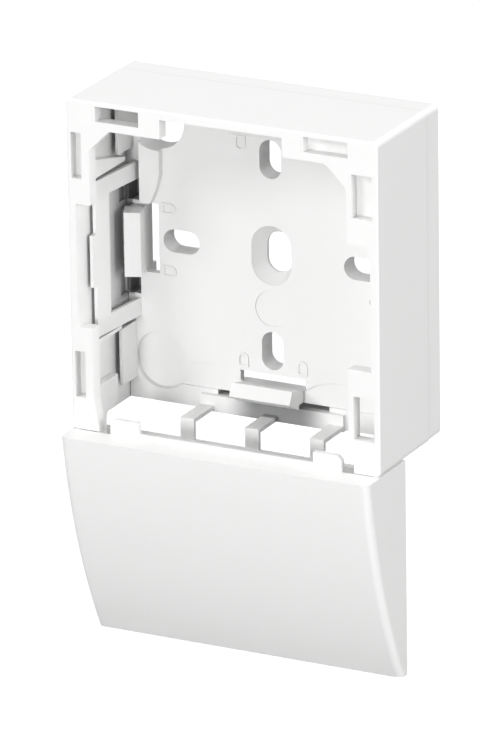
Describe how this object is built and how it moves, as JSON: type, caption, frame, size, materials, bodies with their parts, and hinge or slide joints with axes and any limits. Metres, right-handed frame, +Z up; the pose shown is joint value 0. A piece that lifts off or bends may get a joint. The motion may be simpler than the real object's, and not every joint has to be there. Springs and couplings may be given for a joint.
{
  "type": "trunking adapter",
  "caption": "White surface box with a slotted front rim and an open window, on a wall plate with slots and hooks, and a curved hood that covers skirting trunking below.",
  "frame": {"origin": "on the wall plane, at the centre of the fixing slots of the base plate", "axes": "+Z up, +Y into the wall, +X to the right as seen from the room"},
  "size_m": [0.085, 0.041, 0.1425],
  "materials": {
    "white_plastic": "satin moulded"
  },
  "bodies": {
    "root": {"base_plate": "white_plastic", "frame_shell": "white_plastic", "side_insert": "white_plastic", "trunking_cover": "white_plastic"}
  },
  "joints": []
}
